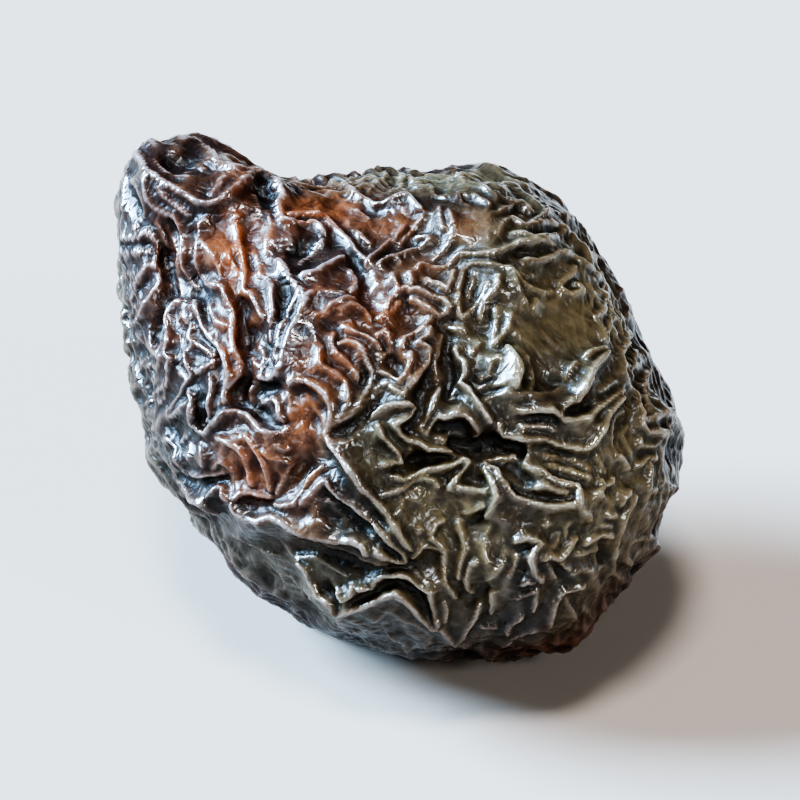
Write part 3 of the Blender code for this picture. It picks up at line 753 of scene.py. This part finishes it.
def make_skin():
    rng = np.random.default_rng(11)
    ways, faces = round_mesh(23)
    values = np.zeros((len(ways), 3))
    marks = None
    stages = [
        dict(least=0.9, width=0.75, rise=0.26, widen=1.5, deep=0.26, growth=1.025, bending=0.26,
             hold=0.060, rounds=100, face_net=0.0, facets=[],
             net=(90, 1.9, 0.85, [(1.3, 0.35), (0.6, 0.9)], 0.28)),
        dict(least=0.7, width=0.38, rise=0.26, widen=1.1, deep=0.26, growth=1.03, bending=0.15,
             hold=0.070, rounds=110, face_net=0.0,
             facets=[(0.10, 4.6), (0.10, 3.7), (0.09, 3.1), (0.09, 4.1), (0.07, 2.6),
                     (0.07, 3.4), (0.06, 2.2)],
             net=(230, 0.80, 0.80, [(1.5, 0.35), (0.9, 0.8), (0.3, 2.0)], 0.13)),
        dict(least=0.0, width=0.24, rise=0.52, widen=0.9, deep=0.34, growth=1.02, bending=0.025,
             hold=0.100, rounds=80, face_net=0.14,
             facets=[(0.034, 1.9), (0.034, 1.5), (0.030, 1.3), (0.030, 1.7), (0.022, 1.1)],
             net=(1200, 0.27, 0.46, [(1.3, 0.35), (0.8, 0.9), (0.4, 2.0), (0.15, 4.0)], 0.17)),
    ]
    for number, stage in enumerate(stages):
        if number:
            ways, faces, values = halve(ways, faces, values)
        crowded = ways + np.array([0, 0, CROWDING])
        crowded /= np.linalg.norm(crowded, axis=1)[:, None]
        table, degree = neighbours(faces, len(ways))
        smooth = body(crowded)
        normals = vertex_normals(smooth, faces)
        facing = facing_share(crowded)
        drawn = drawn_share(crowded)
        broad = fold_height(smooth, crowded) * (0.45 + 0.15 * facing)
        # The folds stand out over the outline, so the body under them is a little smaller there.
        broad -= 0.55 * np.exp(-(((crowded[:, 2] + 0.05) / 0.35) ** 2))
        u, v = smooth[:, 0], smooth[:, 1]
        broad -= 0.95 * np.exp(-(((u + 3.6) / 4.6) ** 2 + ((v - 16.6) / 3.2) ** 2))
        broad += 0.55 * np.exp(-(((u + 15.6) / 3.4) ** 2 + ((v - 17.5) / 3.0) ** 2))
        base = smooth + normals * broad[:, None]
        places = base[:, :2]
        slopes = -normals[:, :2] / np.maximum(normals[:, 2:], 0.22)
        if number:
            values = averaged(values, table, degree, 2)
        crests = crest_height(places, slopes, drawn, stage["least"], stage["width"])
        hollows = hollow_depth(places, slopes, drawn, stage["widen"])
        cells, net_width, net_height, bends, lengthwise = stage["net"]
        # The net carries on over the flanks of the face, where the drawing sees it edge-on.
        flank = np.clip((0.70 - normals[:, 2]) / 0.40, 0, 1)
        share = np.maximum(1 - drawn * (1 - stage["face_net"]), 0.50 * flank)
        # It keeps off the drawn rim of the stem end and the long folds at the lower left.
        rim = np.exp(-(((places[:, 0] + 15.4) / 4.0) ** 2 + ((places[:, 1] - 16.2) / 3.2) ** 2) ** 2)
        folds = np.exp(-(((places[:, 0] + 9.5) / 6.0) ** 2 + ((places[:, 1] + 9.5) / 4.0) ** 2) ** 2)
        share = share * (1 - (0.85 * rim + 0.65 * folds) * drawn)
        away = np.nonzero(share > 0.03)[0]
        net = np.zeros(len(ways))
        gaps = cell_gaps(base[away], cells, 0.9, bends, number * 1.7, lengthwise)
        # The mesh is coarser behind, and carries wider ridges there.
        net[away] = ridge_shape(gaps, net_width * (1.5 - 0.5 * facing[away]))
        aim = stage["rise"] * (crests - 0.30 * drawn) - stage["deep"] * hollows
        strong = (np.sin(base @ np.array([0.31, 0.12, 0.22]) + 0.7)
                  + np.sin(base @ np.array([-0.17, 0.29, 0.13]) + 2.1)) / 4 + 0.5
        if number == 2:
            strong = strong * (0.55 + 0.45 * facing) - 0.20 * (1 - facing)
        aim = aim + net_height * (0.6 + 0.8 * strong) * share * (net - 0.45)
        aim = aim + crumple(base, stage["facets"], 0.6 + number) * (0.7 + 0.3 * drawn)
        if number == 1:
            aim = aim + leaning(places) * drawn
        # The folds found so far stay: what is new comes on top of them.
        rest = base + values
        lasting = vertex_normals(averaged(rest, table, degree, 3), faces)
        rest = averaged(rest, table, degree, 1)
        jitter = rng.normal(0, 0.003, len(ways))
        start = rest + lasting * (aim + jitter)[:, None]
        settled = settle(start, rest, lasting, aim, stage["hold"], table, degree,
                         stage["growth"], stage["bending"], stage["rounds"])
        values = settled - base
    return ways, crowded, faces, table, degree, base, base + values


def curvature(points, faces, table, degree, rounds):
    """How far each place stands out from its surroundings, in mm: crests above nought."""
    around = averaged(points, table, degree, rounds)
    return ((points - around) * vertex_normals(around, faces)).sum(axis=1)


def square_map(ways, faces):
    """Where the corners of each triangle lie on a square that shows the whole skin, every part at
    the same scale: the face fills the diamond in the middle, the back is folded out from it."""
    corners = ways[faces]
    own = np.where(corners[..., :2] < 0, -1.0, 1.0)
    quarter = np.where(corners.mean(axis=1, keepdims=True)[..., :2] < 0, -1.0, 1.0)
    behind = corners[..., 2:] < 0
    side = np.where(behind, quarter, own)
    x, y = np.moveaxis(corners[..., :2] * side, -1, 0)
    reach = np.sqrt(np.maximum(1 - np.abs(corners[..., 2]), 0))
    turned = np.arctan2(y, x) * (2 / np.pi) * reach
    flat = np.stack([reach - turned, turned], axis=-1)
    flat = np.where(behind, 1 - flat[..., ::-1], flat)
    return 0.5 + 0.492 * side * flat


ways, crowded, faces, table, degree, base, skin = make_skin()
skin = 0.5 * skin + 0.5 * averaged(skin, table, degree, 1)
fine = curvature(skin, faces, table, degree, 4)
broad = curvature(skin, faces, table, degree, 40)
shift = solid_shift()
placed = stand_up(skin) + shift
face_places = lie_down(placed - shift)

# The underside is pressed flat where the fruit lies on the floor.
FLAT_SOFTNESS = 0.35
low = placed[:, 2]
placed[:, 2] = np.where(low < FLAT_SOFTNESS,
                        FLAT_SOFTNESS * np.exp(np.minimum(low - FLAT_SOFTNESS, 0) / FLAT_SOFTNESS),
                        low)
placed[:, 2] -= placed[:, 2].min()

data = bpy.data.meshes.new("prune_skin")
data.from_pydata((placed * 0.001).tolist(), [], faces.tolist())
data.shade_smooth()
data.update()
assert np.array_equal([face.vertices[:] for face in data.polygons], faces)
flat_map = data.uv_layers.new(name="OFBake")
flat_map.uv.foreach_set("vector", square_map(crowded, faces).astype(np.float32).ravel())


def add_mark(name, values):
    layer = data.attributes.new(name, "FLOAT", "POINT")
    layer.data.foreach_set("value", np.ascontiguousarray(values, dtype=np.float32))


def spots(centres):
    """Soft patches on the drawing grid of the face: (x, y, half width, half height, strength)."""
    total = np.zeros(len(face_places))
    for x, y, wide, high, strength in centres:
        du = (face_places[:, 0] - (x - MIDDLE[0]) * STEP) / (wide * STEP)
        dv = (face_places[:, 1] + (y - MIDDLE[1]) * STEP) / (high * STEP)
        total = np.maximum(total, strength * np.exp(-(du * du + dv * dv)))
    return total * facing_share(crowded)


add_mark("crest_fine", np.clip(0.5 + fine / 0.20, 0, 1))
# Where the thin crest lines are: the looks paint them pale, partly as worn skin and partly as a painted highlight.
add_mark("crest_line", np.clip(curvature(skin, faces, table, degree, 2) / 0.07, 0, 1)
         * (0.55 + 0.45 * facing_share(crowded)))
add_mark("crest_broad", np.clip(0.5 + broad / 1.2, 0, 1))
# Behind the face, where the photograph doesn't look, thin skin shows in patches of its own.
hidden = 1 - facing_share(crowded)
patch = (np.sin(base @ np.array([0.16, 0.07, -0.10]) + 1.2)
         + 0.6 * np.sin(base @ np.array([-0.10, 0.17, 0.21]) + 2.6))
amber = np.clip(patch * 0.8 - 0.40, 0, 0.42) * hidden
pale = np.clip(-patch * 0.8 - 0.35, 0, 0.22) * hidden

add_mark("amber", amber + spots([
    (366, 296, 13, 30, 1.3), (398, 284, 26, 9, 0.95), (425, 290, 16, 9, 0.65),
    (401, 337, 13, 19, 1.5), (393, 378, 9, 28, 1.0), (372, 386, 14, 13, 1.0),
    (455, 292, 10, 8, 0.55), (420, 325, 26, 13, 0.8), (343, 312, 13, 34, 0.5),
    (364, 335, 10, 24, 0.7), (432, 345, 12, 16, 0.45), (440, 310, 14, 8, 0.5),
]))
# Olive patches: on the face a painted sheen over the right side, behind the face the skin's own paler patches.
add_mark("pale_patch_and_sheen", pale + spots([
    (490, 330, 44, 48, 1.2), (455, 400, 48, 50, 1.1), (505, 395, 42, 62, 1.1),
    (430, 375, 25, 30, 0.7), (410, 430, 50, 24, 0.6), (450, 270, 60, 10, 0.7),
]))

# What faces down is duller than the rest, and so is the flank under the lower left folds.
lean_down = vertex_normals(averaged(placed, table, degree, 12), faces)[:, 2]
add_mark("shelter", np.clip(np.maximum((0.10 - lean_down) / 0.55,
                                       spots([(380, 413, 24, 8, 0.9)])), 0, 1))

prune = bpy.data.objects.new("prune_skin", data)
bpy.context.scene.collection.objects.link(prune)


# ------------------------------------------------------------------------------------------------
# Material
# ------------------------------------------------------------------------------------------------
def make_material():
    skin = bpy.data.materials.new("prune_skin_looks")
    skin.use_nodes = True
    tree = skin.node_tree
    nodes, links = tree.nodes, tree.links
    shader = nodes["Principled BSDF"]

    def node(kind, **settings):
        made = nodes.new(kind)
        for key, value in settings.items():
            setattr(made, key, value)
        return made

    def mark(name):
        made = node("ShaderNodeAttribute", attribute_name=name)
        return made.outputs["Fac"]

    def maths(operation, a, b=None, clamp=False):
        made = node("ShaderNodeMath", operation=operation, use_clamp=clamp)
        for socket, value in zip(made.inputs, (a, b)):
            if value is None:
                continue
            if isinstance(value, (int, float)):
                socket.default_value = value
            else:
                links.new(value, socket)
        return made.outputs[0]

    def mix(factor, a, b, blend="MIX"):
        made = node("ShaderNodeMix", data_type="RGBA", blend_type=blend)
        for socket, value in ((made.inputs[0], factor), (made.inputs[6], a), (made.inputs[7], b)):
            if isinstance(value, (int, float)):
                socket.default_value = value
            elif isinstance(value, tuple):
                socket.default_value = value + (1.0,) * (4 - len(value))
            else:
                links.new(value, socket)
        return made.outputs[2]

    def noise(scale, detail=3.0, rough=0.55, distortion=0.0):
        made = node("ShaderNodeTexNoise")
        made.inputs["Scale"].default_value = scale
        made.inputs["Detail"].default_value = detail
        made.inputs["Roughness"].default_value = rough
        made.inputs["Distortion"].default_value = distortion
        links.new(place, made.inputs["Vector"])
        return made.outputs["Fac"]

    def spread(value, low, high, to_low=0.0, to_high=1.0):
        made = node("ShaderNodeMapRange", interpolation_type="SMOOTHSTEP")
        links.new(value, made.inputs["Value"])
        made.inputs["From Min"].default_value = low
        made.inputs["From Max"].default_value = high
        made.inputs["To Min"].default_value = to_low
        made.inputs["To Max"].default_value = to_high
        return made.outputs["Result"]

    place = node("ShaderNodeTexCoord").outputs["Object"]
    fine_crest, broad_crest, line = mark("crest_fine"), mark("crest_broad"), mark("crest_line")
    amber, pale_patch_and_sheen, shelter = mark("amber"), mark("pale_patch_and_sheen"), mark("shelter")

    # Near black in the hollows, which is painted shade, dark red-brown on the folds, amber where the skin is thin.
    blotches = noise(170, 4.0)
    speckle = noise(900, 3.0)
    hollow_shade = (0.0018, 0.0011, 0.0011)
    flesh = (0.0130, 0.0058, 0.0046)
    crest = (0.048, 0.0230, 0.0155)
    # Painted shade: the broad hollows of the skin are darkened towards near black.
    tone = mix(spread(broad_crest, 0.25, 0.75), hollow_shade, flesh)
    tone = mix(spread(fine_crest, 0.50, 0.95), tone, crest)
    thin = maths("MULTIPLY", amber, spread(blotches, 0.28, 0.58), clamp=True)
    warm = mix(spread(fine_crest, 0.15, 0.80), (0.032, 0.0062, 0.0022), (0.185, 0.055, 0.0200))
    tone = mix(thin, tone, warm)
    # The olive tone: on the face it is painted sheen, behind the face the skin's own paler patches.
    pale_and_sheen_colour = mix(spread(fine_crest, 0.15, 0.80), (0.0185, 0.0128, 0.0060), (0.116, 0.083, 0.044))
    tone = mix(maths("MULTIPLY", maths("MULTIPLY", pale_patch_and_sheen, spread(blotches, 0.22, 0.55)), 0.9),
               tone, pale_and_sheen_colour)
    tone = mix(spread(speckle, 0.55, 0.75, 0.0, 0.12), tone, (0.14, 0.085, 0.055))
    # Pale crest lines: partly worn, dry skin, partly a painted highlight that runs along each crest.
    wear_and_highlight = mix(pale_patch_and_sheen, (0.21, 0.160, 0.155), (0.25, 0.215, 0.155))
    wear_and_highlight_mask = maths("MULTIPLY", spread(line, 0.40, 1.0),
                   spread(noise(600, 2.0), 0.35, 0.62, 0.25, 0.75))
    wear_and_highlight_mask = maths("MULTIPLY", wear_and_highlight_mask, spread(amber, 0.3, 1.1, 1.0, 0.55))
    tone = mix(wear_and_highlight_mask, tone, wear_and_highlight)
    links.new(tone, shader.inputs["Base Color"])

    # Sticky and glossy on the folds, duller in the hollows.
    rough = maths("ADD", spread(noise(420, 3.0), 0.3, 0.7, 0.24, 0.36),
                  spread(fine_crest, 0.15, 0.75, 0.14, 0.0))
    links.new(rough, shader.inputs["Roughness"])
    film = maths("MULTIPLY", spread(fine_crest, 0.36, 0.72, 0.03, 0.90),
                 spread(shelter, 0.0, 1.0, 1.0, 0.22))
    links.new(film, shader.inputs["Coat Weight"])
    shader.inputs["Metallic"].default_value = 0.0
    shader.inputs["Specular IOR Level"].default_value = 0.20
    shader.inputs["Coat Roughness"].default_value = 0.12
    shader.inputs["Subsurface Weight"].default_value = 0.06
    shader.inputs["Subsurface Radius"].default_value = (1.0, 0.28, 0.10)
    shader.inputs["Subsurface Scale"].default_value = 0.0012

    # Creases too fine for the mesh.
    creases = node("ShaderNodeTexVoronoi", feature="DISTANCE_TO_EDGE")
    creases.inputs["Scale"].default_value = 1250
    bent = node("ShaderNodeVectorMath", operation="ADD")
    wobble = node("ShaderNodeTexNoise")
    wobble.inputs["Scale"].default_value = 500
    wobble.inputs["Detail"].default_value = 2.0
    links.new(place, wobble.inputs["Vector"])
    small = node("ShaderNodeVectorMath", operation="SCALE")
    small.inputs["Scale"].default_value = 0.0011
    links.new(wobble.outputs["Color"], small.inputs[0])
    links.new(place, bent.inputs[0])
    links.new(small.outputs[0], bent.inputs[1])
    links.new(bent.outputs[0], creases.inputs["Vector"])
    height = maths("ADD", maths("MULTIPLY", spread(creases.outputs["Distance"], 0.0, 0.28), 0.6),
                   maths("MULTIPLY", noise(2600, 3.0), 0.5))
    height = maths("ADD", height, maths("MULTIPLY", noise(900, 3.0), 1.2))
    bump = node("ShaderNodeBump")
    bump.inputs["Strength"].default_value = 0.55
    bump.inputs["Distance"].default_value = 0.00011
    links.new(height, bump.inputs["Height"])
    links.new(bump.outputs["Normal"], shader.inputs["Normal"])
    over = node("ShaderNodeBump")
    over.inputs["Strength"].default_value = 0.25
    over.inputs["Distance"].default_value = 0.00011
    links.new(height, over.inputs["Height"])
    links.new(over.outputs["Normal"], shader.inputs["Coat Normal"])
    return skin


data.materials.append(make_material())
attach(prune, "root")
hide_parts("prune")


# ------------------------------------------------------------------------------------------------
# Floor, light and camera
# ------------------------------------------------------------------------------------------------
def plain_material(name, colour, rough):
    made = bpy.data.materials.new(name)
    made.use_nodes = True
    shader = made.node_tree.nodes["Principled BSDF"]
    shader.inputs["Base Color"].default_value = colour + (1.0,)
    shader.inputs["Roughness"].default_value = rough
    shader.inputs["Specular IOR Level"].default_value = 0.0
    return made


floor_mesh = bmesh.new()
bmesh.ops.create_grid(floor_mesh, x_segments=1, y_segments=1, size=3.0)
floor_data = bpy.data.meshes.new("floor")
floor_mesh.to_mesh(floor_data)
floor_mesh.free()
floor_data.materials.append(plain_material("floor_looks", (0.300, 0.238, 0.202), 0.85))
floor = bpy.data.objects.new("floor", floor_data)
bpy.context.scene.collection.objects.link(floor)
floor.location.z = -0.00002


def lamp(name, place, angle, strength, colour):
    """A broad light that shines from place to the middle of the fruit, evenly over the floor."""
    light = bpy.data.lights.new(name, "SUN")
    light.angle = math.radians(angle)
    light.energy = strength
    light.color = colour
    made = bpy.data.objects.new(name, light)
    bpy.context.scene.collection.objects.link(made)
    made.location = place
    way = np.array([0.0, 0.0, 0.015]) - np.array(place, float)
    made.rotation_euler = Vector(way).to_track_quat("-Z", "Y").to_euler()


lamp("left", (-0.46, 0.12, 0.31), 30, 36.0, (0.42, 0.70, 1.0))
lamp("top", (-0.06, -0.12, 0.62), 15, 4.7, (0.86, 0.93, 1.0))
lamp("low", (-0.04, -0.52, 0.15), 17, 0.6, (0.80, 0.92, 1.0))
lamp("right", (0.34, -0.34, 0.30), 16, 2.0, (0.88, 0.97, 1.0))

# Little light comes from all around. What lies beyond the floor is seen as pale as the floor.
world = bpy.data.worlds.new("studio")
bpy.context.scene.world = world
world.use_nodes = True
air = world.node_tree
air.nodes["Background"].inputs["Color"].default_value = (1.0, 1.0, 1.0, 1.0)
air.nodes["Background"].inputs["Strength"].default_value = 0.06
beyond = air.nodes.new("ShaderNodeBackground")
beyond.inputs["Color"].default_value = (0.80, 0.89, 1.0, 1.0)
beyond.inputs["Strength"].default_value = 1.58
seen = air.nodes.new("ShaderNodeMixShader")
air.links.new(air.nodes.new("ShaderNodeLightPath").outputs["Is Camera Ray"], seen.inputs[0])
air.links.new(air.nodes["Background"].outputs[0], seen.inputs[1])
air.links.new(beyond.outputs[0], seen.inputs[2])
air.links.new(seen.outputs[0], air.nodes["World Output"].inputs["Surface"])

view = bpy.context.scene.view_settings
view.view_transform = "AgX"
view.look = "AgX - High Contrast"

# The camera looks along the face's own axis, from the photograph's height over the horizon. The
# view is closer than the photograph's, so that the one fruit fills the frame.
CAMERA_DISTANCE = 0.36
FRAME_WIDTH = 0.0541
LOOK_AT = (429.0, 360.0)
cam_data = bpy.data.cameras.new("camera")
camera = bpy.data.objects.new("camera", cam_data)
bpy.context.scene.collection.objects.link(camera)
aimed_at = np.array([[(LOOK_AT[0] - MIDDLE[0]) * STEP, -(LOOK_AT[1] - MIDDLE[1]) * STEP, 0.0]])
look = Vector((stand_up(aimed_at)[0] + shift) * 0.001)
rise = math.radians(FACE_ELEVATION)
camera.location = look + Vector((0, -math.cos(rise), math.sin(rise))) * CAMERA_DISTANCE
camera.rotation_euler = (look - camera.location).to_track_quat("-Z", "Y").to_euler()
cam_data.sensor_width = 36
cam_data.lens = 36 * CAMERA_DISTANCE / FRAME_WIDTH
cam_data.clip_start = 0.01
bpy.context.scene.camera = camera
